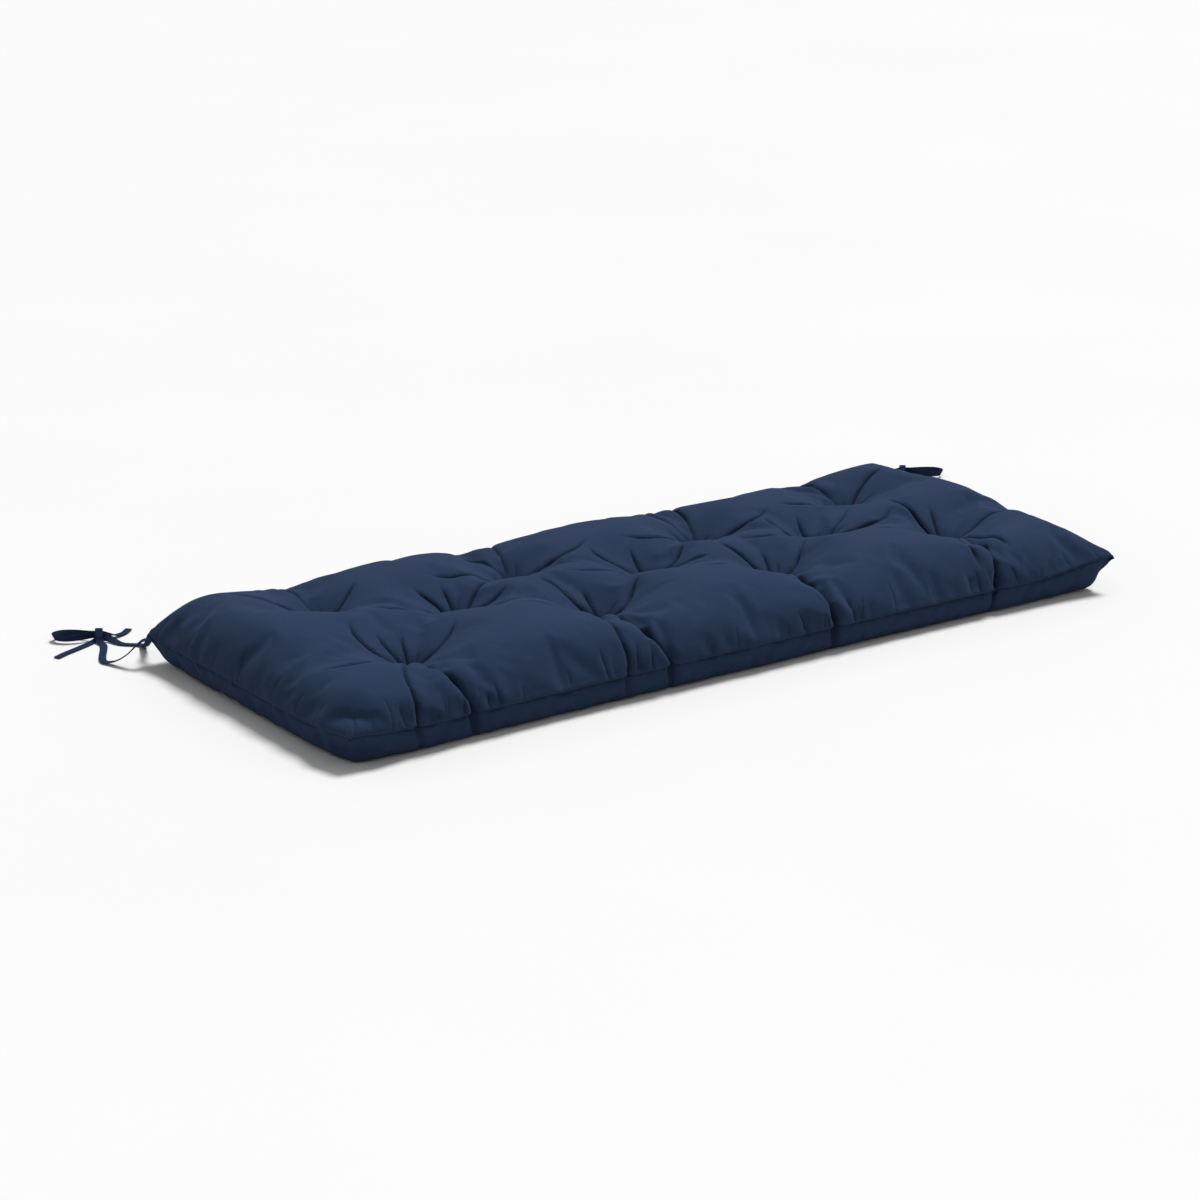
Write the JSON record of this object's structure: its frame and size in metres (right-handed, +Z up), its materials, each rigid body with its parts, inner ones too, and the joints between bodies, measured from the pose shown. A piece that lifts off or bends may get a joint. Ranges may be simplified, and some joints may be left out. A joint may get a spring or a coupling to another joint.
{
  "type": "bench cushion",
  "caption": "Long filled seat cushion with stitched tufts, a plain knife-edge seam and narrow tapes tied in bows at its rear corners.",
  "frame": {"origin": "middle of the cushion's footprint, on the surface it lies on", "axes": "+X along the long side, +Y towards the rear edge with the ties, +Z up out of the tufted face"},
  "size_m": [1.3664, 0.6043, 0.0979],
  "materials": {
    "navy_cotton": "matt plain-weave cotton, navy blue",
    "navy_tape": "folded and edge-stitched cotton tape, navy blue"
  },
  "bodies": {
    "root": {"cushion": "navy_cotton", "tie_left_looped": "navy_tape", "tie_left_wrapped": "navy_tape", "tie_right_looped": "navy_tape", "tie_right_wrapped": "navy_tape"}
  },
  "joints": []
}
